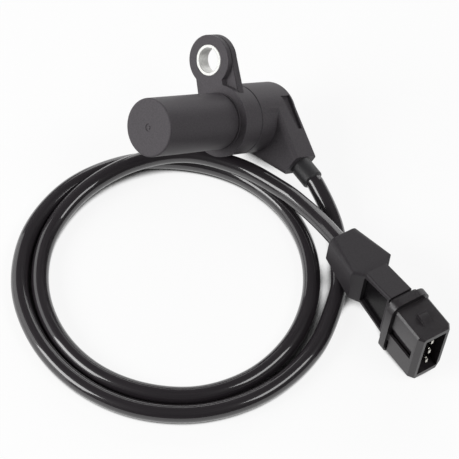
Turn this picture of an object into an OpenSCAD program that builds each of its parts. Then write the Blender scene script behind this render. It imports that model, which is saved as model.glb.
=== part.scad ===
// Crankshaft position sensor: round probe nose, seat disc with a bolt ear, rear drum with a side outlet,
// moulded cable laid in a flat coil, and a flat plug with three blades.
// Millimetres. Z is up and the floor is Z = 0. The head lies on the rim of its drum, nose raised.

/* [Nose] */
// Diameter of the probe nose
nose_d = 18; // [16:0.5:22]
// Length of the nose in front of the seat face
nose_len = 33; // [28:1:45]
// Wall of the nose around the coil chamber
nose_wall = 1.2; // [0.8:0.1:1.6]
// Wall that closes the tip of the nose
nose_end = 1; // [0.7:0.1:2]
// Rounding of the tip's edge
tip_round = 0.6; // [0.2:0.1:0.6]
// Width of the moulding gate's dimple in the tip
gate_d = 2.4; // [1.6:0.1:3]
// Height of the nose's foot and the relief groove above it
relief_len = 1.4; // [1:0.1:2]

/* [Seat disc and ear] */
// Thickness of the seat disc and of the ear's front layer
disc_t = 1.8; // [1.4:0.1:2.4]
// How far the seat disc stands out past the drum
disc_over = 0.3; // [0.2:0.1:1]
// Distance from the disc's edge to the centre of the bolt hole
ear_reach = 7.9; // [7.4:0.1:10]
// Full thickness of the ear with its stiffening layer
ear_t = 4.4; // [3.4:0.1:5.4]
// Width of plastic around the metal sleeve
ear_rim = 3; // [2.2:0.1:4]
// Width of the step that joins the disc and the ear's ring
ear_web = 8; // [6:0.5:10]
// Width of the seam between the ear's two layers
ear_seam = 0.35; // [0.2:0.05:0.5]
// Outside diameter of the metal sleeve in the ear
sleeve_d = 10; // [9.4:0.1:11]
// Bolt hole through the sleeve
bolt_hole_d = 7.8; // [6.4:0.1:8.2]
// Height of the sleeve above the ear's two faces
sleeve_proud = 0.1; // [0.05:0.05:0.4]

/* [Collar and drum] */
// How far the drum stands out past the nose
drum_over = 2.2; // [2:0.1:3]
// Length from the seat face to the parting line
collar_len = 8.4; // [7.4:0.1:10]
// Chamfer on each side of the parting line
crease = 0.35; // [0.2:0.05:0.5]
// Length of the drum behind the parting line
drum_len = 18.8; // [17:0.1:22]
// Rounding of the drum's rear edge
drum_round = 1.8; // [1.2:0.1:2]
// Length of the spigot that plugs the drum into the collar
spigot_len = 5; // [3.6:0.1:5.4]

/* [Outlet] */
// Turn of the outlet about the nose axis, from straight opposite the ear
outlet_clock = 36; // [20:1:45]
// Distance from the nose axis to the outlet's end face
outlet_reach = 21.8; // [20:0.2:24]
// Width of the outlet's end face
outlet_w = 7.6; // [7.4:0.1:9]
// Thickness of the outlet along the nose axis
outlet_t = 11.4; // [11:0.1:11.8]
// Rounding of the outlet's long edges
outlet_round = 1.4; // [1:0.1:2.4]
// Depth of the tapered pocket in each side of the outlet
pocket_depth = 1.1; // [0.5:0.1:1.2]
// Length of the tapered pocket
pocket_len = 11.8; // [9:0.2:13]

/* [Cable] */
// Diameter of the cable
cable_d = 5.6; // [5:0.1:5.7]
// Wall of the strain collar around the cable
collar_wall = 0.7; // [0.6:0.05:1]
// Length of the strain collar outside the outlet
collar_out = 7.2; // [5:0.1:9]
// Diameter of each insulated core
core_d = 1.4; // [1:0.1:1.6]

/* [Plug shell] */
// Width of the plug's shell
shell_w = 11.8; // [11:0.1:12.6]
// Height of the plug's shell
shell_h = 20.4; // [19.8:0.1:21.4]
// Length of the shell in front of its plate
shell_len = 13; // [12:0.5:14]
// Wall along the two long sides of the shell
side_wall = 2.2; // [2:0.1:2.4]
// Wall along the two short sides of the shell
end_wall = 1.7; // [1.4:0.1:2]
// Height of the cut on the keyed lower corner
key_h = 3.2; // [2.4:0.1:3.6]
// How far each long side leans in at the mouth
mouth_taper = 1.2; // [0.8:0.1:1.4]
// How far the plate stands out past the shell, sideways
plate_over_w = 1; // [0.8:0.1:1.6]
// How far the plate stands out past the shell, up and down
plate_over_h = 1.6; // [1.2:0.1:2]
// Height of the latch ramp on top of the shell
ramp_h = 1.4; // [1:0.1:1.6]
// Depth of the guide channel in the side of the shell
channel_depth = 1.4; // [1.2:0.1:1.6]

/* [Plug blades] */
// Width of a blade
blade_w = 2.6; // [2.2:0.1:3]
// Thickness of a blade
blade_t = 0.8; // [0.6:0.1:1]
// Distance between blades
blade_pitch = 5; // [4.6:0.1:5.2]
// Depth of the blade tips inside the shell's mouth
blade_recess = 0.9; // [0.5:0.1:3]

/* [Plug grip] */
// Width of the neck behind the plate
neck_w = 8.3; // [7.6:0.1:9]
// Length of the neck
neck_len = 12.6; // [12:0.1:15]
// Depth of the panel sunk into each side of the neck
panel_depth = 1.1; // [0.6:0.1:1.3]
// Widest part of the grip
grip_w = 14; // [13:0.1:15]
// Height of the grip at its widest part
grip_h = 14.4; // [13.8:0.1:15.4]
// Length of the grip, from the neck to the cable
grip_len = 17.3; // [16:0.1:19]
// Width of the grip where the cable enters
tail_w = 10.4; // [9.8:0.1:11]
// Height of the grip where the cable enters
tail_h = 11.4; // [10.6:0.1:11.8]

/* [Pose on the floor] */
// Rise of the nose above level
lie_tilt = 35; // [30:1:40]
// Turn of the head about the vertical
lie_yaw = 7.2; // [5:0.1:10]
// Turn of the head about its own axis
lie_roll = -42.9; // [-46:0.1:-40]
// Sideways lean of the plug
plug_lean = 6; // [0:0.5:8]
// Turn of the plug about the vertical
plug_yaw = 1; // [-2:0.5:4]

/* [Hidden] */

// Radial room between pieces that plug together
fit = 0.05;
// Overrun of a cutting shape
eps = 0.5;
// Thinnest slice of a shape that a hull joins
slice_t = 0.2;
// Room left under the cable
floor_gap = 0.1;
// Corners of a full circle on turned shapes, and on shapes that are joined by a hull
fine = 96;
coarse = 32;

// Turned radii of the head
nose_r = nose_d / 2;
drum_r = nose_r + drum_over;
disc_r = drum_r + disc_over;
chamber_r = nose_r - nose_wall;
relief_foot = 0.4;
relief_share = 0.4;
relief_r = nose_r - relief_share * nose_wall;
spigot_r = (chamber_r + drum_r) / 2;
drum_wall = 1.6;
terminal_room_r = chamber_r - drum_wall;

// Stations along the nose axis, from the seat face
gate_depth = 0.25;
tip_in = nose_len - nose_end;
drum_back = collar_len + drum_len;
step_z = spigot_len - collar_len;

// Ear
hole_y = disc_r + ear_reach;
sleeve_r = sleeve_d / 2;
ear_r = sleeve_r + ear_rim;
ear_flare = 0.8;
seam_depth = 0.3;
seam_z = -disc_t - ear_seam;

// Coil, magnet and terminals
pole_r = 2.5;
magnet_r = 3.2;
magnet_len = 10;
magnet_top = step_z + magnet_len;
carrier_cap = 4.2;
carrier_top = magnet_top + carrier_cap;
bobbin_wall = 0.8;
bobbin_flange = 1.2;
winding_r = chamber_r - bobbin_wall;
term_x = 4.8;
term_w = 2;
term_t = 0.6;
term_up = 7.4;
term_down = 6.6;
term_top = step_z + term_up;
term_low = -collar_len - term_down;
solder_len = 3.2;
solder_top = 4;

// Outlet, in a frame turned by outlet_clock in which it runs along -Y
outlet_z = outlet_t / 2 - drum_back;
outlet_thin = 0.2;
outlet_end_len = 4;
cable_r = cable_d / 2;
jacket_start = 11;
grommet_start = 12;
collar_r = cable_r + collar_wall;
collar_root_wall = 0.3;
collar_root_r = cable_r + collar_root_wall;
outlet_bore_r = collar_root_r + fit;
slab_inset = 0.1;
slab_r = drum_r - slab_inset;
end_slant = sqrt(outlet_reach * outlet_reach + outlet_w * outlet_w / 4);
tangent_turn = atan(outlet_w / 2 / outlet_reach) + acos(slab_r / end_slant);
pocket_start = 2.3;
pocket_low = 1.9 - drum_back;
pocket_root = 4.4;
pocket_tip = 1.9;
pocket_rise = 0.4;

// Cores between a jacket's end and their terminals: spacing, straight lead, and bends from the outlet's axis
core_side = 0.9;
core_pitch = 1.55;
core_lead = 1.2;
core_bends = [[1.3, -8, 0.3], [2.9, -3, 2.2]];

// Plug stations along its own axis, from the rear of its lip
lip_t = 1.1;
groove_t = 0.4;
groove_depth = 0.6;
plate_t = 2.4;
lip_w = shell_w - 1;
lip_h = shell_h - 0.8;
lip_round = 2;
plate_back = lip_t + groove_t;
plate_front = plate_back + plate_t;
mouth = plate_front + shell_len;
mouth_len = 1.7;
seal_gap = 0.7;
seal_depth = 0.6;
floor_t = 1;
shell_floor = plate_front + seal_gap + floor_t;
shell_edge = 0.6;
key_w = 1;
plate_w = shell_w + 2 * plate_over_w;
plate_h = shell_h + 2 * plate_over_h;
plate_round = 3.6;

// Guide channel, slit and latch ramp, measured from the middle of the shell
channel_top = 2.6;
channel_bend = -1;
channel_low = -1.8;
channel_root = -4.4;
channel_wall = 0.8;
slit_low = -9.6;
slit_len = 4.6;
ramp_w = 3;
ramp_z = plate_front + 4.6;
ramp_len = 4.3;
ramp_flat = 0.9;

// Grip and what is inside it
blade_tip = 0.6;
tail_len = 6;
shoulder_len = 2;
shoulder_over = 0.4;
neck_gap = 1;
neck_gap_depth = 0.8;
neck_drop = 2.1;
neck_h = shell_h - neck_drop;
neck_edge = 0.8;
grip_edge = 1.2;
grip_draft = 1;
grip_slope = 3.1;
grip_top = neck_len + grip_slope;
tail_round = 2.2;
boot_back = neck_len + grip_len;
jacket_in = 12;
jacket_end = boot_back - jacket_in;
wire_room_w = 3.4;
wire_room_h = blade_pitch + blade_w / 2 + 2 * shoulder_over;
core_room_h = core_pitch + core_d / 2;
panel_rim = 1.6;

// Where the head and the plug lie
seat_x = 1.95;
seat_y = 1.72;
seat_h = (drum_r - drum_round) * cos(lie_tilt) + (drum_back - drum_round) * sin(lie_tilt) + drum_round;
plug_x = 14.2;
plug_y = -81.1;
plug_h = (plate_h / 2 - plate_round) * cos(plug_lean) + (plate_w / 2 - plate_round) * sin(plug_lean)
    + plate_round;

// Floor route of the cable between the strain collar and the plug: X, Y, and the level in cable diameters,
// 0 on the floor and about 1.1 on top of another turn
route = [[20.4, -33, 0.7], [19, -40, 0.34], [16.3, -46.6, 0.07], [12, -53.3, 0], [5.6, -61.8, 0],
    [-10.9, -74, 0], [-30.8, -78.6, 0], [-50.6, -74.6, 0], [-66.9, -63, 0], [-77.2, -46.1, 0],
    [-80.3, -26.5, 0], [-75.9, -6.7, 0], [-63.2, 9.5, 0], [-44.4, 18, 0], [-24.3, 16.6, 0], [-7.6, 7.1, 0],
    [4.2, -6.9, 0], [9.5, -23.9, 0], [7.7, -41.3, 0], [-0.6, -56.6, 0], [-14.1, -67.5, 0], [-31, -72.1, 0],
    [-48.3, -69, 0], [-62.5, -58.7, 0], [-71.7, -44.1, 0], [-74.5, -26.9, 0], [-70.4, -9.7, 0],
    [-59.5, 4.7, 0.03], [-43.1, 12.7, 0.34], [-25, 12.8, 0.78], [-8.3, 6.1, 1.03], [3.7, -7.2, 1.07],
    [10.6, -22.5, 1.1], [12.9, -33.5, 1.25], [13.5, -42.5, 1.5]];
// Straight stretch of the cable at the mouth of the strain collar and of the grip
cable_lead = 1;

plastic_colour = [0.16, 0.16, 0.17];
soft_colour = [0.1, 0.1, 0.11];
metal_colour = [0.75, 0.76, 0.78];
copper_colour = [0.72, 0.42, 0.22];

// A point of the head's, the outlet's or the plug's own frame in the row frame
function turn_z(p, a) = [p[0] * cos(a) - p[1] * sin(a), p[0] * sin(a) + p[1] * cos(a), p[2]];
function turn_y(p, a) = [p[0] * cos(a) + p[2] * sin(a), p[1], p[2] * cos(a) - p[0] * sin(a)];
function head_point(p) =
    [seat_x, seat_y, seat_h] + turn_z(turn_y(turn_z(p, lie_roll), lie_tilt - 90), lie_yaw);
function outlet_point(d) = head_point(turn_z([0, -d, outlet_z], outlet_clock));
function plug_point(z) = [plug_x, plug_y, plug_h] + turn_z([0, -z, 0], plug_yaw);

// Smooth curve through a list of points, with n steps between each two
function bend(a, b, c, d, t) =
    0.5 * (2 * b + (c - a) * t + (2 * a - 5 * b + 4 * c - d) * t * t + (3 * b - a - 3 * c + d) * t * t * t);
function smooth(p, n) = concat([for (i = [0 : len(p) - 2]) for (k = [0 : n - 1])
    bend(p[max(i - 1, 0)], p[i], p[i + 1], p[min(i + 2, len(p) - 1)], k / n)], [p[len(p) - 1]]);

// Round tube along a list of points; up is any direction the tube never runs along
function unit(v) = v / norm(v);
function heading(p, i) = unit(p[min(i + 1, len(p) - 1)] - p[max(i - 1, 0)]);
function ring(c, t, up, r, n) =
    let (s = unit(cross(t, up)), u = cross(s, t))
    [for (k = [0 : n - 1]) c + r * (cos(360 * k / n) * s + sin(360 * k / n) * u)];
module tube(p, r, n, up) {
    last = len(p) - 1;
    points = [for (i = [0 : last]) each ring(p[i], heading(p, i), up, r, n)];
    sides = [for (i = [0 : last - 1]) for (k = [0 : n - 1])
        [i * n + k, i * n + (k + 1) % n, (i + 1) * n + (k + 1) % n, (i + 1) * n + k]];
    near = [for (k = [0 : n - 1]) n - 1 - k];
    far = [for (k = [0 : n - 1]) last * n + k];
    polyhedron(points, concat([near], sides, [far]));
}

module in_head() {
    translate([seat_x, seat_y, seat_h]) rotate([0, 0, lie_yaw]) rotate([0, lie_tilt - 90, 0])
        rotate([0, 0, lie_roll]) children();
}
module in_outlet() {
    in_head() rotate([0, 0, outlet_clock]) children();
}
module in_plug() {
    translate([plug_x, plug_y, plug_h]) rotate([0, 0, plug_yaw]) rotate([90, 0, 0])
        rotate([0, 0, -plug_lean]) children();
}

// Disc of radius r between two stations
module puck(r, low, high) {
    translate([0, 0, low]) cylinder(r = r, h = high - low, $fn = fine);
}
// Block centred on the axis between two stations
module bar(w, h, low, high) {
    translate([-w / 2, -h / 2, low]) cube([w, h, high - low]);
}
// Flat rectangle with round corners
module round_rect(w, h, r) {
    square([w - 2 * r, h], center = true);
    square([w, h - 2 * r], center = true);
    for (x = [-1, 1], y = [-1, 1])
        translate([x * (w / 2 - r), y * (h / 2 - r)]) circle(r = r, $fn = fine / 2);
}
// Prism across the plug between two values of -X, from an outline of stations and heights
module across_plug(low, high) {
    rotate([0, -90, 0]) translate([0, 0, low]) linear_extrude(high - low) children();
}

// Ear seen from the nose: the front layer follows the disc and the ring, the layer behind fills the notch
module ear_front() {
    translate([0, hole_y]) circle(r = ear_r, $fn = fine);
    translate([-ear_web / 2, 0]) square([ear_web, hole_y]);
}
module ear_behind(inset) {
    foot = ear_r + ear_flare - inset;
    waist = ear_r - fit - inset;
    translate([0, hole_y]) circle(r = ear_r - inset, $fn = fine);
    polygon([[-foot, 0], [foot, 0], [waist, hole_y], [-waist, hole_y]]);
}

module front_housing() {
    color(plastic_colour) in_head() difference() {
        union() {
            rotate_extrude($fn = fine) {
                square([nose_r + fit, relief_foot]);
                square([relief_r, 2 * relief_len]);
                translate([0, relief_len]) square([nose_r, nose_len - tip_round - relief_len]);
                translate([0, relief_len]) square([nose_r - tip_round, nose_len - relief_len]);
                translate([nose_r - tip_round, nose_len - tip_round]) circle(r = tip_round, $fn = coarse);
                translate([0, -disc_t]) square([disc_r, disc_t]);
                translate([0, crease - collar_len]) square([drum_r, collar_len - crease]);
                polygon([[0, -collar_len], [drum_r - crease, -collar_len], [drum_r, crease - collar_len],
                    [0, crease - collar_len]]);
            }
            translate([0, 0, -disc_t]) linear_extrude(disc_t) ear_front();
            translate([0, 0, seam_z]) linear_extrude(ear_seam) ear_behind(seam_depth);
            translate([0, 0, -ear_t]) linear_extrude(ear_t + seam_z) ear_behind(0);
        }
        puck(chamber_r, -collar_len - eps, tip_in);
        puck(spigot_r, -collar_len - eps, step_z);
        translate([0, hole_y, -ear_t - eps]) cylinder(r = sleeve_r, h = ear_t + 2 * eps, $fn = fine);
        translate([0, 0, nose_len - gate_depth]) difference() {
            cylinder(r = gate_d / 2, h = gate_depth + eps, $fn = coarse);
            translate([0, 0, -eps]) cylinder(r = gate_d / 5, h = gate_depth + eps, $fn = coarse);
        }
    }
}

module mounting_sleeve() {
    color(metal_colour) in_head() translate([0, hole_y, 0]) difference() {
        puck(sleeve_r - fit, -ear_t - sleeve_proud, sleeve_proud);
        puck(bolt_hole_d / 2, -ear_t - eps, eps);
    }
}

// Outlet that leaves the drum at a tangent on both sides and tapers to its end face
module outlet_body() {
    hull() {
        rotate([0, 0, 180]) rotate_extrude(angle = 180, $fn = 2 * coarse) {
            translate([0, drum_round - drum_back]) square([slab_r, outlet_t - 2 * drum_round]);
            translate([0, fit - drum_back]) square([slab_r - drum_round, outlet_t - fit]);
            for (z = [drum_round - drum_back + fit, outlet_t - drum_round - drum_back])
                translate([slab_r - drum_round, z]) circle(r = drum_round, $fn = coarse);
        }
        for (x = [-1, 1], z = [-1, 1])
            translate([x * (outlet_w / 2 - outlet_round), -outlet_reach,
                outlet_z + z * (outlet_t / 2 - outlet_thin - outlet_round)])
                rotate([-90, 0, 0]) cylinder(r = outlet_round, h = outlet_end_len, $fn = coarse);
    }
}
// Pocket that narrows toward the end of the outlet
module side_pocket() {
    rotate([0, 0, tangent_turn]) translate([0, pocket_depth - slab_r, 0]) rotate([90, 0, 0])
        linear_extrude(2 * pocket_depth)
            polygon([[pocket_start, pocket_low], [pocket_start, pocket_low + pocket_root],
                [pocket_start - pocket_len, pocket_low + pocket_rise + pocket_tip],
                [pocket_start - pocket_len, pocket_low + pocket_rise]]);
}

module rear_housing() {
    color(plastic_colour) in_outlet() difference() {
        union() {
            rotate_extrude($fn = fine) {
                translate([0, -drum_back]) square([drum_r - drum_round, drum_len]);
                translate([0, drum_round - drum_back]) square([drum_r, drum_len - drum_round - crease]);
                translate([drum_r - drum_round, drum_round - drum_back]) circle(r = drum_round, $fn = coarse);
                polygon([[0, -collar_len - crease], [drum_r, -collar_len - crease],
                    [drum_r - crease, -collar_len], [0, -collar_len]]);
            }
            puck(spigot_r - fit, -collar_len - eps, step_z);
            outlet_body();
        }
        puck(terminal_room_r, drum_wall - drum_back, step_z + eps);
        translate([0, 0, outlet_z]) rotate([90, 0, 0]) puck(outlet_bore_r, 0, outlet_reach + eps);
        side_pocket();
        mirror([1, 0, 0]) side_pocket();
    }
}

module coil_bobbin() {
    color([0.82, 0.78, 0.66]) in_outlet() difference() {
        union() {
            puck(chamber_r - fit, tip_in - bobbin_flange, tip_in);
            puck(pole_r + fit + bobbin_wall, carrier_top - eps, tip_in - bobbin_flange / 2);
            puck(chamber_r - fit, step_z, carrier_top);
        }
        puck(pole_r + fit, magnet_top - eps, tip_in + eps);
        puck(magnet_r + fit, step_z - eps, magnet_top);
        for (x = [-1, 1])
            translate([x * term_x, 0, 0]) bar(term_t + 2 * fit, term_w + 2 * fit, step_z - eps, term_top);
    }
}

module coil_winding() {
    color(copper_colour) in_head() difference() {
        puck(winding_r, carrier_top, tip_in - bobbin_flange);
        puck(pole_r + bobbin_wall + 2 * fit, carrier_top - eps, tip_in);
    }
}

module pole_pin() {
    color(metal_colour) in_head() puck(pole_r, magnet_top, tip_in);
}

module magnet() {
    color([0.35, 0.35, 0.37]) in_head() puck(magnet_r, step_z, magnet_top);
}

module terminal(side) {
    color(metal_colour) in_outlet() translate([side * term_x, 0, 0]) bar(term_t, term_w, term_low, term_top);
}
module terminal_left() {
    terminal(-1);
}
module terminal_right() {
    terminal(1);
}

// Core from the end of the jacket to the inner face of its terminal
module core_wire(side) {
    x_end = term_x - term_t / 2 - core_d / 2;
    start = [side * core_side, -jacket_start, outlet_z];
    end = [side * x_end, 0, term_low + solder_top];
    bends = [for (b = core_bends) [side * b[0], b[1], outlet_z + b[2]]];
    stops = concat([start + [0, core_lead, 0]], bends, [end - [0, 0, solder_len]]);
    color(copper_colour) in_outlet()
        tube(concat([start], smooth(stops, 3), [end]), core_d / 2, 10, [1, 0, 0]);
}
module core_wire_left() {
    core_wire(-1);
}
module core_wire_right() {
    core_wire(1);
}

module cable_grommet() {
    color(soft_colour) in_outlet() translate([0, 0, outlet_z]) rotate([90, 0, 0]) difference() {
        union() {
            puck(collar_root_r, grommet_start, outlet_reach + eps);
            rotate_extrude($fn = fine) {
                translate([0, outlet_reach]) square([collar_r, collar_out - collar_wall]);
                translate([0, outlet_reach]) square([cable_r + 2 * fit, collar_out]);
                translate([cable_r, outlet_reach + collar_out - collar_wall])
                    circle(r = collar_wall, $fn = coarse);
            }
        }
        puck(cable_r + fit, 0, outlet_reach + collar_out + eps);
    }
}

// Straight inside the outlet and the grip, smooth along the floor route between them
module cable() {
    collar_end = outlet_reach + collar_out;
    lead_in = [for (d = [jacket_start, collar_end - cable_lead, collar_end + cable_lead]) outlet_point(d)];
    lead_out = [for (z = [boot_back + cable_lead, boot_back - cable_lead, jacket_end]) plug_point(-z)];
    floor_part = [for (p = route) [p[0], p[1], floor_gap + cable_d * (0.5 + p[2])]];
    free_part = smooth(concat([lead_in[2]], floor_part, [lead_out[0]]), 2);
    line = concat([lead_in[0], lead_in[1]], free_part, [lead_out[1], lead_out[2]]);
    color(soft_colour) tube(line, cable_r, 12, [0, 0, 1]);
}

// Thin cross-section of the grip with round corners, wider at the top than below
module boot_slice(z, top_w, low_w, h, r) {
    for (x = [-1, 1]) {
        translate([x * (top_w / 2 - r), h / 2 - r, z]) cylinder(r = r, h = slice_t, $fn = coarse);
        translate([x * (low_w / 2 - r), r - h / 2, z]) cylinder(r = r, h = slice_t, $fn = coarse);
    }
}
// Sunk panel in the left side of the neck
module neck_panel() {
    rear = grip_h / 2 - panel_rim;
    front = neck_h / 2 - panel_rim;
    across_plug(neck_w / 2 - panel_depth, neck_w / 2 + eps)
        polygon([[-neck_len, -rear], [-neck_gap - neck_edge, -front], [-neck_gap - neck_edge, front],
            [-neck_len, rear]]);
}
// Soft grip and neck moulded onto the cable
module connector_boot() {
    color(soft_colour) in_plug() difference() {
        union() {
            hull() {
                boot_slice(-boot_back, tail_w, tail_w, tail_h, tail_round);
                boot_slice(-grip_top, grip_w + grip_draft, grip_w - grip_draft, grip_h, grip_edge);
                boot_slice(-neck_len, neck_w + slice_t, neck_w + slice_t, grip_h + slice_t, neck_edge);
            }
            hull() {
                boot_slice(-neck_len - eps, neck_w, neck_w, grip_h + 2 * slice_t, neck_edge);
                boot_slice(-neck_gap - slice_t, neck_w, neck_w, neck_h, neck_edge);
            }
            bar(neck_w - 2 * neck_gap_depth, neck_h - 2 * neck_gap_depth, -neck_gap - eps, 0);
        }
        puck(cable_r + fit, -boot_back - eps, -jacket_end);
        across_plug(-wire_room_w / 2, wire_room_w / 2)
            polygon([[-jacket_end - slice_t, -core_room_h], [-tail_len, -wire_room_h], [eps, -wire_room_h],
                [eps, wire_room_h], [-tail_len, wire_room_h], [-jacket_end - slice_t, core_room_h]]);
        neck_panel();
        mirror([1, 0, 0]) neck_panel();
    }
}

// Outline of the shell with a cut lower corner, each long side moved in by inset
module shell_outline(inset) {
    side = shell_w / 2 - inset;
    top = shell_h / 2;
    polygon([[shell_edge - side, -top], [side - key_w, -top], [side, key_h - top], [side, top - shell_edge],
        [side - shell_edge, top], [shell_edge - side, top], [-side, top - shell_edge],
        [-side, shell_edge - top]]);
}
// Guide channel that runs down behind the lower half of the side
module side_channel() {
    face = -shell_w / 2;
    deep = face + channel_depth;
    wall = face + channel_wall;
    translate([0, 0, plate_front]) linear_extrude(shell_len - mouth_len - 1)
        polygon([[face - eps, channel_top], [face, channel_top], [deep, channel_bend], [deep, channel_root],
            [wall, channel_root], [wall, channel_low], [face - eps, channel_low]]);
}
// Ramp that a latch slides over and catches behind
module latch_ramp() {
    foot = shell_h / 2 - eps;
    top = shell_h / 2 + ramp_h;
    across_plug(-ramp_w / 2, ramp_w / 2)
        polygon([[ramp_z, foot], [ramp_z, top], [ramp_z + ramp_flat, top], [ramp_z + ramp_len, shell_h / 2],
            [ramp_z + ramp_len, foot]]);
}
module connector_shell() {
    color(plastic_colour) in_plug() difference() {
        union() {
            linear_extrude(lip_t) round_rect(lip_w, lip_h, lip_round);
            bar(lip_w - 2 * groove_depth, lip_h - 2 * groove_depth, lip_t - eps, plate_back + eps);
            translate([0, 0, plate_back]) linear_extrude(shell_len + plate_t - mouth_len) shell_outline(0);
            hull() {
                translate([0, 0, mouth - mouth_len - eps]) linear_extrude(eps) shell_outline(0);
                translate([0, 0, mouth - slice_t]) linear_extrude(slice_t) shell_outline(mouth_taper);
            }
            translate([0, 0, plate_back]) linear_extrude(plate_t) round_rect(plate_w, plate_h, plate_round);
            latch_ramp();
        }
        bar(shell_w - 2 * side_wall, shell_h - 2 * end_wall, shell_floor, mouth + eps);
        for (y = [-1, 0, 1])
            translate([0, y * blade_pitch, 0])
                bar(blade_t + 2 * fit, blade_w + 2 * fit, -eps, shell_floor + eps);
        side_channel();
        translate([0, 0, plate_front]) linear_extrude(seal_gap) difference() {
            translate([-shell_w, channel_low]) square([2 * shell_w, shell_h]);
            square([shell_w - 2 * seal_depth, shell_h - 2 * seal_depth], center = true);
        }
        translate([-shell_w / 2 - eps, slit_low, plate_front]) cube([eps + channel_wall, slit_len, seal_gap]);
    }
}

// Blade with a chamfered tip and a shoulder that stops on the rear of the shell
module contact_pin(y) {
    half = blade_w / 2;
    wide = half + shoulder_over;
    tip = mouth - blade_recess;
    color(metal_colour) in_plug() translate([0, y * blade_pitch, 0]) across_plug(-blade_t / 2, blade_t / 2)
        polygon([[-tail_len, -half], [-shoulder_len, -half], [-shoulder_len, -wide], [0, -wide], [0, -half],
            [tip - blade_tip, -half], [tip, blade_tip - half], [tip, half - blade_tip],
            [tip - blade_tip, half], [0, half], [0, wide], [-shoulder_len, wide], [-shoulder_len, half],
            [-tail_len, half]]);
}
module contact_pin_1() {
    contact_pin(1);
}
module contact_pin_2() {
    contact_pin(0);
}
module contact_pin_3() {
    contact_pin(-1);
}

// Core from the end of the jacket to the tail of its blade
module plug_wire(y) {
    start = [0, y * core_pitch, -jacket_end];
    end = [0, y * blade_pitch, -tail_len];
    stops = [start + [0, 0, core_lead], (start + end) / 2, end - [0, 0, core_lead]];
    color(copper_colour) in_plug() tube(concat([start], smooth(stops, 4), [end]), core_d / 2, 10, [1, 0, 0]);
}
module plug_wire_1() {
    plug_wire(1);
}
module plug_wire_2() {
    plug_wire(0);
}
module plug_wire_3() {
    plug_wire(-1);
}

front_housing();
mounting_sleeve();
rear_housing();
coil_bobbin();
coil_winding();
pole_pin();
magnet();
terminal_left();
terminal_right();
core_wire_left();
core_wire_right();
cable_grommet();
cable();
connector_boot();
connector_shell();
contact_pin_1();
contact_pin_2();
contact_pin_3();
plug_wire_1();
plug_wire_2();
plug_wire_3();
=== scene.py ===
# %% [markdown]
# A crankshaft position sensor is a small moulded pickup on a length of cable, with a flat plug at its
# end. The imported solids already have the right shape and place, so they come in first as a fixed frame.
# Everything added later is built around them, in metres, in the same axes.

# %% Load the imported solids
import math

import bmesh
import bpy
import numpy as np
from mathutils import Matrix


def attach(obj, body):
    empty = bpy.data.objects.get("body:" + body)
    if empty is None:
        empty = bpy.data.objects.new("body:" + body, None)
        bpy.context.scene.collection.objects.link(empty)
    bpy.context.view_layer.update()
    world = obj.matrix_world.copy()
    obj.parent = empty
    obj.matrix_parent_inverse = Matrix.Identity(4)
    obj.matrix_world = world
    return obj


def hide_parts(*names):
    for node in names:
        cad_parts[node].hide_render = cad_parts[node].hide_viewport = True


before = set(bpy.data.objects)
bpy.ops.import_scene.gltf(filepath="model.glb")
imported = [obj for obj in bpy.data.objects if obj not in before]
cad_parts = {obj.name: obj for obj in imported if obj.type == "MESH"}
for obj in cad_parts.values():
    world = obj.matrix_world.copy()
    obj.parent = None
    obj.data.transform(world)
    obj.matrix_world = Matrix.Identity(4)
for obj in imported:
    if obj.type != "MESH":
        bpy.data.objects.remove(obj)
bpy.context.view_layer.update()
MM = 0.001
print("loaded", len(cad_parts), "solids")

# %% [markdown]
# The picture was taken with a long lens from above and to the left. Copying that camera first means
# every later render can be laid over the photograph. The lens is worked out from a focal length in
# pixels, because the picture is square.

# %% Camera at the photograph's angle
IMAGE_PX = 459
FOCAL_PX = 1800
SENSOR_MM = 36
LOOK_DOWN_DEG = 56
LOOK_RIGHT_DEG = 32
CAMERA_MM = (-178.54, -293.74, 476.01)

camera_data = bpy.data.cameras.new("photo_camera")
camera_data.sensor_width = SENSOR_MM
camera_data.lens = FOCAL_PX * SENSOR_MM / IMAGE_PX
camera = bpy.data.objects.new("photo_camera", camera_data)
camera.location = [v * MM for v in CAMERA_MM]
camera.rotation_euler = (math.radians(90 - LOOK_DOWN_DEG), 0, math.radians(-LOOK_RIGHT_DEG))
bpy.context.scene.collection.objects.link(camera)
bpy.context.scene.camera = camera
print("lens", round(camera_data.lens, 1), "mm")

# %% [markdown]
# Materials are small node trees. Two helpers keep them short: one turns a written colour into the
# linear numbers that a shader works with, the other adds a node with its settings and links.

# %% Colour and node helpers
def linear(hex_colour):
    """sRGB hex to linear RGBA: a dark channel over 12.92, else ((c + 0.055) / 1.055) to the power 2.4."""
    c = np.array([int(hex_colour[i:i + 2], 16) for i in (1, 3, 5)]) / 255
    rgb = np.where(c <= 0.04045, c / 12.92, ((c + 0.055) / 1.055) ** 2.4)
    return (*rgb.tolist(), 1.0)


def add_node(tree, kind, settings=None, links=None):
    """One node; settings are its properties or socket values, links join its sockets to other outputs."""
    made = tree.nodes.new(kind)
    for key, value in (settings or {}).items():
        if isinstance(key, int) or key in made.inputs:
            made.inputs[key].default_value = value
        else:
            setattr(made, key, value)
    for key, source in (links or {}).items():
        tree.links.new(source, made.inputs[key])
    return made


# %% [markdown]
# Every finish here is a close-grained one: a moulded, plated, sintered or drawn surface that looks
# plain from afar and shows a fine unevenness up close. One noise field can carry all of that. It mixes
# two near colours, moves the roughness between two values and tilts the surface a little, each by an
# amount that the material gives.

# %% One recipe for grained surfaces
NOISE_LOW, NOISE_HIGH = 0.3, 0.7
GRAIN_STRENGTH = 0.4


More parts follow.
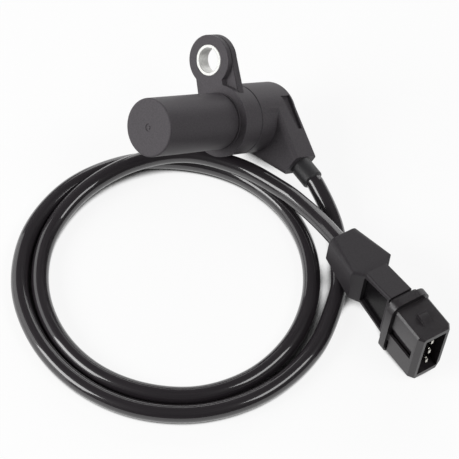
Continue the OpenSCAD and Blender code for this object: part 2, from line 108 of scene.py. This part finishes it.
def grained(name, colours, roughness, grain_mm, depth_mm, vector="Object", stretch=(1, 1, 1), **sockets):
    """Noise n of one grain size: colour and roughness run from their first to their second value as n rises
    from NOISE_LOW to NOISE_HIGH, and the surface is displaced in shading by n times depth_mm."""
    material = bpy.data.materials.new(name)
    material.use_nodes = True
    tree = material.node_tree
    shader = tree.nodes["Principled BSDF"]
    for key, value in sockets.items():
        shader.inputs[key.replace("_", " ")].default_value = value
    place = add_node(tree, "ShaderNodeTexCoord")
    scaled = add_node(
        tree, "ShaderNodeMapping", {"Scale": [s / (grain_mm * MM) for s in stretch]},
        {"Vector": place.outputs[vector]})
    noise = add_node(
        tree, "ShaderNodeTexNoise", {"Scale": 1.0, "Detail": 3.0, "Roughness": 0.6},
        {"Vector": scaled.outputs["Vector"]})
    tint = add_node(tree, "ShaderNodeValToRGB", links={"Fac": noise.outputs["Fac"]})
    for stop, level, colour in zip(tint.color_ramp.elements, (NOISE_LOW, NOISE_HIGH), colours):
        stop.position = level
        stop.color = linear(colour)
    rough = add_node(
        tree, "ShaderNodeMapRange",
        {"From Min": NOISE_LOW, "From Max": NOISE_HIGH, "To Min": roughness[0], "To Max": roughness[1]},
        {"Value": noise.outputs["Fac"]})
    bump = add_node(
        tree, "ShaderNodeBump", {"Strength": GRAIN_STRENGTH, "Distance": depth_mm * MM},
        {"Height": noise.outputs["Fac"]})
    tree.links.new(tint.outputs["Color"], shader.inputs["Base Color"])
    tree.links.new(rough.outputs["Result"], shader.inputs["Roughness"])
    tree.links.new(bump.outputs["Normal"], shader.inputs["Normal"])
    return material


# %% [markdown]
# The housings are glass-filled polyamide, moulded in a spark-eroded tool: a flat dark grey with a fine,
# even grain and a weak, wide sheen. The grip is a softer moulding with the same grain. The panels in its
# neck come from a polished part of the tool; their near-black colour and weak reflection are painted
# shade. The plug's shell was moulded in a smoother tool, so it is darker face on and paler at a slant.
# The real grain is about a tenth of a millimetre, so it is drawn several times coarser here to show at all.

# %% Moulded plastics
housing_plastic = grained(
    "spark_eroded_polyamide", ("#534f53", "#625e62"), (0.46, 0.58), 0.5, 0.05, Specular_IOR_Level=0.3)
grip_plastic = grained(
    "moulded_grip_elastomer", ("#302d30", "#3b373b"), (0.48, 0.58), 0.5, 0.05, Specular_IOR_Level=0.4)
plug_plastic = grained(
    "smooth_moulded_polyamide", ("#2a2629", "#343033"), (0.34, 0.44), 0.45, 0.03, Specular_IOR_Level=0.65)
# Painted shade: the neck panels' near-black colour and weak specular level stand in for the shade they
# would mirror; only the low roughness is real polish.
shaded_panel_plastic = grained(
    "polished_elastomer_painted_shade", ("#131113", "#1a181a"), (0.2, 0.28), 0.8, 0.02, Specular_IOR_Level=0.08)
collar_rubber = grained(
    "moulded_collar_rubber", ("#343335", "#3f3e40"), (0.42, 0.52), 0.4, 0.03)
plastics = (housing_plastic, grip_plastic, plug_plastic, shaded_panel_plastic, collar_rubber)
print("plastics", [plastic.name for plastic in plastics])

# %% [markdown]
# The cable jacket is extruded PVC: nearly black, smooth and glossy, so it mirrors the lamps as long
# streaks. The die leaves faint lines that run with the cable, so its grain is stretched along the
# cable's own coordinates. The gloss is a clear coat over the darker body. The sleeve in the ear is
# mottled zinc-plated steel, only partly metallic: its near-white colour and plain diffuse share are a
# painted highlight, standing in for a lamp's broad reflection. The blades are tinned brass.

# %% Jacket and metals
jacket_pvc = grained(
    "extruded_black_pvc", ("#292529", "#312c30"), (0.36, 0.44), 0.3, 0.004, vector="UV",
    stretch=(1, 0.02, 1), Specular_IOR_Level=0.25, Coat_Weight=1.0, Coat_Roughness=0.06, Coat_IOR=1.68)
# Painted highlight: the sleeve's near-white colour and diffuse share (metallic 0.7) stand in for a lamp's
# reflection on the zinc plating.
sleeve_steel = grained(
    "zinc_steel_painted_highlight", ("#e2e2df", "#f8f8f5"), (0.45, 0.6), 0.9, 0.01, Metallic=0.7)
tinned_brass = grained("tinned_brass", ("#bdbab2", "#d8d5cd"), (0.2, 0.34), 0.6, 0.006, Metallic=1.0)
print("outer finishes", jacket_pvc.name, sleeve_steel.name, tinned_brass.name)

# %% [markdown]
# What is sealed inside still gets its own finish: a natural nylon bobbin, a turned soft-iron pole, a
# sintered magnet, enamelled copper wire and PVC core insulation.

# %% Inside finishes
bobbin_nylon = grained("natural_nylon", ("#cfc5a8", "#ddd5bc"), (0.4, 0.5), 0.8, 0.02)
pole_steel = grained("turned_soft_iron", ("#858588", "#98989b"), (0.34, 0.46), 0.3, 0.01, Metallic=1.0)
magnet_alloy = grained("sintered_magnet_alloy", ("#505054", "#646468"), (0.5, 0.7), 0.4, 0.02, Metallic=1.0)
copper_wire = grained(
    "enamelled_copper_wire", ("#a25c33", "#bd7445"), (0.24, 0.36), 0.25, 0.03, Metallic=1.0)
core_sleeving = grained("core_insulation_pvc", ("#944430", "#a4523d"), (0.3, 0.4), 0.6, 0.01)
print("inside finishes ready")

# %% [markdown]
# The cable is one round tube along a line. The line runs straight out of the strain collar, down to the
# floor, twice round in a loose ring, over itself once, and straight into the plug's grip. Between the
# listed points it follows a Catmull-Rom curve, as a limp cord would.

# %% Cable line
CABLE_MM = 5.6
FLOOR_GAP_MM = 0.1
CURVE_STEPS = 12
OUTLET_MM = [(20.04, -7.002, 10.654), (20.993, -23.892, 8.981), (21.105, -25.88, 8.785)]
# Across and along in mm, then how many of its own diameters the cable is lifted off the floor.
ROUTE = [
    (20.4, -33, 0.7), (19, -40, 0.34), (16.3, -46.6, 0.07), (12, -53.3, 0), (5.6, -61.8, 0),
    (-10.9, -74, 0), (-30.8, -78.6, 0), (-50.6, -74.6, 0), (-66.9, -63, 0), (-77.2, -46.1, 0),
    (-80.3, -26.5, 0), (-75.9, -6.7, 0), (-63.2, 9.5, 0), (-44.4, 18, 0), (-24.3, 16.6, 0),
    (-7.6, 7.1, 0), (4.2, -6.9, 0), (9.5, -23.9, 0), (7.7, -41.3, 0), (-0.6, -56.6, 0),
    (-14.1, -67.5, 0), (-31, -72.1, 0), (-48.3, -69, 0), (-62.5, -58.7, 0), (-71.7, -44.1, 0),
    (-74.5, -26.9, 0), (-70.4, -9.7, 0), (-59.5, 4.7, 0.03), (-43.1, 12.7, 0.34), (-25, 12.8, 0.78),
    (-8.3, 6.1, 1.03), (3.7, -7.2, 1.07), (10.6, -22.5, 1.1), (12.9, -33.5, 1.25), (13.5, -42.5, 1.5)]
PLUG_MM = [(13.661, -50.205, 12.1), (13.696, -52.204, 12.1), (13.888, -63.203, 12.1)]


def catmull_rom(points, steps):
    """Smooth line: between two points the cubic 0.5 (2b + (c-a)t + (2a-5b+4c-d)t^2 + (3b-a-3c+d)t^3)."""
    padded = np.concatenate([points[:1], points, points[-1:]])
    a, b, c, d = (padded[i:len(padded) - 3 + i, None] for i in range(4))
    t = (np.arange(steps) / steps)[None, :, None]
    line = 0.5 * (
        2 * b + (c - a) * t + (2 * a - 5 * b + 4 * c - d) * t ** 2 + (3 * b - a - 3 * c + d) * t ** 3)
    return np.concatenate([line.reshape(-1, 3), points[-1:]])


route_mm = np.array(ROUTE, float)
route_mm[:, 2] = FLOOR_GAP_MM + CABLE_MM * (0.5 + route_mm[:, 2])
outlet_mm, plug_mm = np.array(OUTLET_MM), np.array(PLUG_MM)
free_line = catmull_rom(np.concatenate([outlet_mm[2:], route_mm, plug_mm[:1]]), CURVE_STEPS)
cable_line = np.concatenate([outlet_mm[:2], free_line, plug_mm[1:]]) * MM

# %% [markdown]
# A tube is a circle carried along that line. Its frame stands on the vertical, so the circle never
# twists. The same grid gives the surface its own coordinates in metres: around it one way, along it the
# other.

# %% Cable tube
def tube_grid(line, radius, sides):
    """Grid of points: each line point plus radius times (cos angle sideways + sin angle upwards)."""
    along = np.gradient(line, axis=0)
    along /= np.linalg.norm(along, axis=1)[:, None]
    sideways = np.cross(along, (0, 0, 1))
    sideways /= np.linalg.norm(sideways, axis=1)[:, None]
    upwards = np.cross(sideways, along)
    angle = np.linspace(0, 2 * np.pi, sides, endpoint=False)[None, :, None]
    return line[:, None] + radius * (np.cos(angle) * sideways[:, None] + np.sin(angle) * upwards[:, None])


def tube_faces(rings, sides):
    """Quads between neighbouring rings, closed around, wound so that they face outwards."""
    i, k = np.meshgrid(np.arange(rings - 1), np.arange(sides), indexing="ij")
    near, far = i * sides, (i + 1) * sides
    after = (k + 1) % sides
    return np.stack([near + k, near + after, far + after, far + k], -1).reshape(-1, 4)


def tube_coordinates(line, radius, sides):
    """Each quad's four corners in metres: the share of a turn times the girth, and the length so far."""
    so_far = np.concatenate([[0], np.cumsum(np.linalg.norm(np.diff(line, axis=0), axis=1))])
    i, k = np.meshgrid(np.arange(len(line) - 1), np.arange(sides), indexing="ij")
    step = 2 * np.pi * radius / sides
    around = np.stack([k, k + 1, k + 1, k], -1) * step
    along = np.stack([so_far[i], so_far[i], so_far[i + 1], so_far[i + 1]], -1)
    return np.stack([around, along], -1).reshape(-1, 2)


def mesh_object(name, points, faces, caps=()):
    """A smooth-shaded object at the origin from a point grid, its faces and any end caps."""
    mesh = bpy.data.meshes.new(name)
    mesh.from_pydata(points.reshape(-1, 3).tolist(), [], faces.tolist() + [list(c) for c in caps])
    mesh.polygons.foreach_set("use_smooth", np.ones(len(mesh.polygons), bool))
    mesh.update()
    made = bpy.data.objects.new(name, mesh)
    bpy.context.scene.collection.objects.link(made)
    return made


CABLE_SIDES = 32
cable_radius = CABLE_MM / 2 * MM
last_ring = (len(cable_line) - 1) * CABLE_SIDES
cable_caps = [np.arange(CABLE_SIDES)[::-1].tolist(), (last_ring + np.arange(CABLE_SIDES)).tolist()]
cable = mesh_object(
    "cable_jacket", tube_grid(cable_line, cable_radius, CABLE_SIDES),
    tube_faces(len(cable_line), CABLE_SIDES), cable_caps)
cable_uv = np.zeros((len(cable.data.loops), 2))
side_uv = tube_coordinates(cable_line, cable_radius, CABLE_SIDES)
cable_uv[:len(side_uv)] = side_uv
cable.data.uv_layers.new(name="jacket").data.foreach_set("uv", cable_uv.ravel())
cable.data.materials.append(jacket_pvc)
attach(cable, "root")
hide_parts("cable")
print("cable tube with", len(cable.data.polygons), "faces")

# %% [markdown]
# The moulded solids arrive as loose triangles with knife edges. A copy of each visible one is welded,
# its flat facets are joined, and a small bevel rounds its edges so that they catch the light as moulded
# edges do.

# %% Dressed copies of the visible solids
WELD_MM = 0.002
FLAT_DEG = 0.4
EDGE_BEND_DEG = 32
EDGE_SEGMENTS = 2


def dressed(node, material, edge_mm):
    """Welded copy of a solid, its edges rounded by edge_mm where faces bend by more than EDGE_BEND_DEG."""
    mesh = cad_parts[node].data.copy()
    shape = bmesh.new()
    shape.from_mesh(mesh)
    bmesh.ops.remove_doubles(shape, verts=shape.verts, dist=WELD_MM * MM)
    bmesh.ops.dissolve_limit(
        shape, angle_limit=math.radians(FLAT_DEG), verts=shape.verts, edges=shape.edges)
    shape.to_mesh(mesh)
    shape.free()
    mesh.polygons.foreach_set("use_smooth", np.ones(len(mesh.polygons), bool))
    mesh.set_sharp_from_angle(angle=math.radians(EDGE_BEND_DEG))
    mesh.materials.clear()
    mesh.materials.append(material)
    made = bpy.data.objects.new(node + "_finish", mesh)
    bpy.context.scene.collection.objects.link(made)
    if edge_mm:
        bevel = made.modifiers.new("edge", "BEVEL")
        bevel.width = edge_mm * MM
        bevel.segments = EDGE_SEGMENTS
        bevel.limit_method = "ANGLE"
        bevel.angle_limit = math.radians(EDGE_BEND_DEG)
        shading = made.modifiers.new("shading", "WEIGHTED_NORMAL")
        shading.keep_sharp = True
    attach(made, "root")
    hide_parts(node)
    return made


# Each solid with its finish, its slot and the radius of its edges in mm.
visible = [
    ("front_housing", housing_plastic, "housing_plastic", 0.15),
    ("rear_housing", housing_plastic, "housing_plastic", 0.5),
    ("mounting_sleeve", sleeve_steel, "sleeve_steel", 0.15),
    ("cable_grommet", collar_rubber, "collar_rubber", 0),
    ("connector_boot", grip_plastic, "grip_plastic", 0.3),
    ("connector_shell", plug_plastic, "plug_plastic", 0.15),
    ("contact_pin_1", tinned_brass, "tinned_brass", 0.15),
    ("contact_pin_2", tinned_brass, "tinned_brass", 0.15),
    ("contact_pin_3", tinned_brass, "tinned_brass", 0.15)]
finished = {node: dressed(node, material, edge) for node, material, slot, edge in visible}
print("dressed", sorted(finished))

# %% [markdown]
# The sunk panel on each side of the plug's neck was polished in the tool. Its near-black colour and weak
# reflection are painted shade, for the shadow under the plug that such a panel mirrors. Its faces are
# found by where they lie: square to the plug's sideways axis, and as far from the plug's middle as the
# panels are sunk. The plug is turned a little and leans a little.

# %% Painted shade on the polished neck panels
PLUG_TURN_DEG = 1
PLUG_LEAN_DEG = 6
PANEL_FROM_MIDDLE_MM = 3.05
PANEL_TOLERANCE_MM = 0.2
SQUARE_ON_COSINE = 0.99
turn, lean = math.radians(PLUG_TURN_DEG), math.radians(PLUG_LEAN_DEG)
plug_side = np.array((math.cos(lean) * math.cos(turn), math.cos(lean) * math.sin(turn), -math.sin(lean)))
boot_mesh = finished["connector_boot"].data
face_centres = np.empty(3 * len(boot_mesh.polygons))
face_normals = np.empty(3 * len(boot_mesh.polygons))
boot_mesh.polygons.foreach_get("center", face_centres)
boot_mesh.polygons.foreach_get("normal", face_normals)
from_middle = np.abs((face_centres.reshape(-1, 3) - plug_mm[0] * MM) @ plug_side)
is_square_on = np.abs(face_normals.reshape(-1, 3) @ plug_side) > SQUARE_ON_COSINE
is_panel = is_square_on & (np.abs(from_middle - PANEL_FROM_MIDDLE_MM * MM) < PANEL_TOLERANCE_MM * MM)
# The panel faces take the painted-shade finish: near-black, with a weak reflection.
boot_mesh.materials.append(shaded_panel_plastic)
boot_mesh.polygons.foreach_set("material_index", is_panel.astype(int))
print("polished", int(is_panel.sum()), "faces")

# %% [markdown]
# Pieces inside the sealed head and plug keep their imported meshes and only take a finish.

# %% Finishes of the inside pieces
inside = {
    "coil_bobbin": bobbin_nylon, "coil_winding": copper_wire,
    "pole_pin": pole_steel, "magnet": magnet_alloy,
    "terminal_left": tinned_brass, "terminal_right": tinned_brass,
    "core_wire_left": core_sleeving, "core_wire_right": core_sleeving,
    "plug_wire_1": core_sleeving, "plug_wire_2": core_sleeving, "plug_wire_3": core_sleeving}
for node, material in inside.items():
    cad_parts[node].data.materials.clear()
    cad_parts[node].data.materials.append(material)
print("finished", len(inside), "inside pieces")

# %% [markdown]
# The plug's pieces on the cable's far end are gathered into one list.

plug_pieces = [
    finished[n]
    for n in ("connector_boot", "connector_shell", "contact_pin_1", "contact_pin_2", "contact_pin_3")]
plug_pieces += [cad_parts[n] for n in ("plug_wire_1", "plug_wire_2", "plug_wire_3")]
print("cord declared with", len(plug_pieces), "pieces on it")

# %% [markdown]
# The object lies on a white sheet in an even white tent. The tent's light on the sheet is written into
# the sheet as light of its own, for the camera and for mirrors, so that it doesn't light the object as
# well. Where the object covers the sheet closely, as between two strands of the cable, the tent can't
# reach it and that light fades. What the lamps give the sheet on top of that holds their soft shadows.

# %% White floor
FLOOR_OWN_LIGHT = 0.88
TENT_REACH_MM = 8
TENT_COVERED, TENT_OPEN = 0.28, 0.42
TENT_RAYS = 32
SHEET_COLOUR = "#6c6c6c"
FLOOR_WIDTH = 4.0
half = FLOOR_WIDTH / 2
floor = mesh_object(
    "white_floor", np.array([(-half, -half, 0), (half, -half, 0), (half, half, 0), (-half, half, 0)]),
    np.array([[0, 1, 2, 3]]))
white_sheet = bpy.data.materials.new("white_sheet")
white_sheet.use_nodes = True
floor_tree = white_sheet.node_tree
floor_tree.nodes.clear()
rays = add_node(floor_tree, "ShaderNodeLightPath")
mirrors = add_node(
    floor_tree, "ShaderNodeMath", {"operation": "MAXIMUM"},
    {0: rays.outputs["Is Glossy Ray"], 1: rays.outputs["Is Transmission Ray"]})
seen = add_node(
    floor_tree, "ShaderNodeMath", {"operation": "MAXIMUM"},
    {0: rays.outputs["Is Camera Ray"], 1: mirrors.outputs[0]})
cover = add_node(
    floor_tree, "ShaderNodeAmbientOcclusion", {"samples": TENT_RAYS, "Distance": TENT_REACH_MM * MM})
reached = add_node(
    floor_tree, "ShaderNodeMapRange", {"From Min": TENT_COVERED, "From Max": TENT_OPEN},
    {"Value": cover.outputs["AO"]})
tent_light = add_node(
    floor_tree, "ShaderNodeMath", {"operation": "MULTIPLY", 1: FLOOR_OWN_LIGHT}, {0: reached.outputs[0]})
own_light = add_node(
    floor_tree, "ShaderNodeMath", {"operation": "MULTIPLY"}, {0: seen.outputs[0], 1: tent_light.outputs[0]})
paper = add_node(floor_tree, "ShaderNodeBsdfDiffuse", {"Color": linear(SHEET_COLOUR)})
glow = add_node(floor_tree, "ShaderNodeEmission", links={"Strength": own_light.outputs[0]})
both = add_node(floor_tree, "ShaderNodeAddShader", links={0: paper.outputs[0], 1: glow.outputs[0]})
add_node(floor_tree, "ShaderNodeOutputMaterial", links={"Surface": both.outputs[0]})
floor.data.materials.append(white_sheet)
print("floor", FLOOR_WIDTH, "m wide")

# %% [markdown]
# The photograph is lit from behind and from the left, with little light from the camera's side: left
# faces and top edges are pale, and what faces the camera from below is darker. Soft oblong lamps on a
# dome do that, each named by where it stands. The two at the back are wide and dim and give a broad
# sheen, and the other two are small, so that the glossy cable shows them as streaks. The sky between
# them stays dim.

# %% Lamps and sky
MIDDLE = np.array((-0.015, -0.03, 0.015))
DOME_RADIUS = 0.9
SKY_STRENGTH = 0.08


def soft_lamp(name, azimuth_deg, elevation_deg, width, height, power):
    """A lamp on the dome, facing the middle: azimuth from +X towards +Y, elevation from the floor."""
    azimuth, elevation = math.radians(azimuth_deg), math.radians(elevation_deg)
    away = np.array((
        math.cos(elevation) * math.cos(azimuth), math.cos(elevation) * math.sin(azimuth),
        math.sin(elevation)))
    data = bpy.data.lights.new(name, "AREA")
    data.shape = "RECTANGLE"
    data.size, data.size_y = width, height
    data.energy = power
    lamp = bpy.data.objects.new(name, data)
    lamp.location = MIDDLE + DOME_RADIUS * away
    lamp.rotation_euler = (math.pi / 2 - elevation, 0, azimuth + math.pi / 2)
    lamp.visible_camera = False
    bpy.context.scene.collection.objects.link(lamp)
    return lamp


lamps = [
    soft_lamp("left_softbox", azimuth_deg=168, elevation_deg=34, width=0.5, height=0.4, power=3.5),
    soft_lamp("back_left_tent_wall", azimuth_deg=140, elevation_deg=20, width=1.3, height=0.6, power=2.7),
    soft_lamp("back_right_tent_wall", azimuth_deg=45, elevation_deg=20, width=1.1, height=0.6, power=3.2),
    soft_lamp("right_front_softbox", azimuth_deg=-57, elevation_deg=50, width=0.5, height=0.3, power=2.0)]

world = bpy.data.worlds.new("dim_studio")
world.use_nodes = True
sky = world.node_tree.nodes["Background"]
sky.inputs["Color"].default_value = (1, 1, 1, 1)
sky.inputs["Strength"].default_value = SKY_STRENGTH
bpy.context.scene.world = world
bpy.context.scene.view_settings.view_transform = "Standard"
print("lamps", [lamp.name for lamp in lamps])
